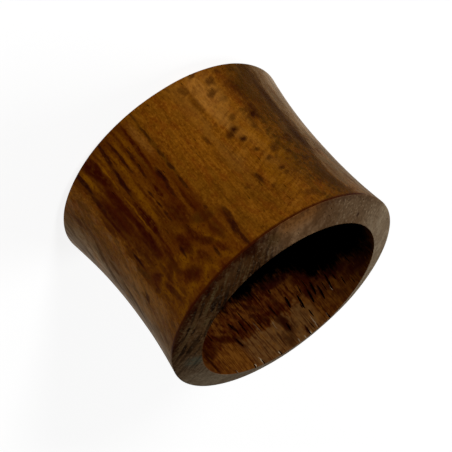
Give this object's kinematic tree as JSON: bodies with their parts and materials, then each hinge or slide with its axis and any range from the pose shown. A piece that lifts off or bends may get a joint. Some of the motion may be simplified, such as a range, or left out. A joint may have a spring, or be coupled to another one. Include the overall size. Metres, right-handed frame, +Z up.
{
  "type": "wooden flesh tunnel",
  "caption": "Double-flared ear tunnel turned from one piece of dark open-grained wood: straight open bore, shallow saddle for the lobe, bevelled rims.",
  "frame": {"origin": "on the surface that the tunnel stands on, in the middle of the bore", "axes": "+Z up, along the bore from the back mouth to the front mouth; -Y towards the picture's camera"},
  "size_m": [0.019, 0.019, 0.0153],
  "materials": {
    "wood": "sanded and oiled, open pores, grey rims"
  },
  "bodies": {
    "root": {"tunnel": "wood"}
  },
  "joints": []
}
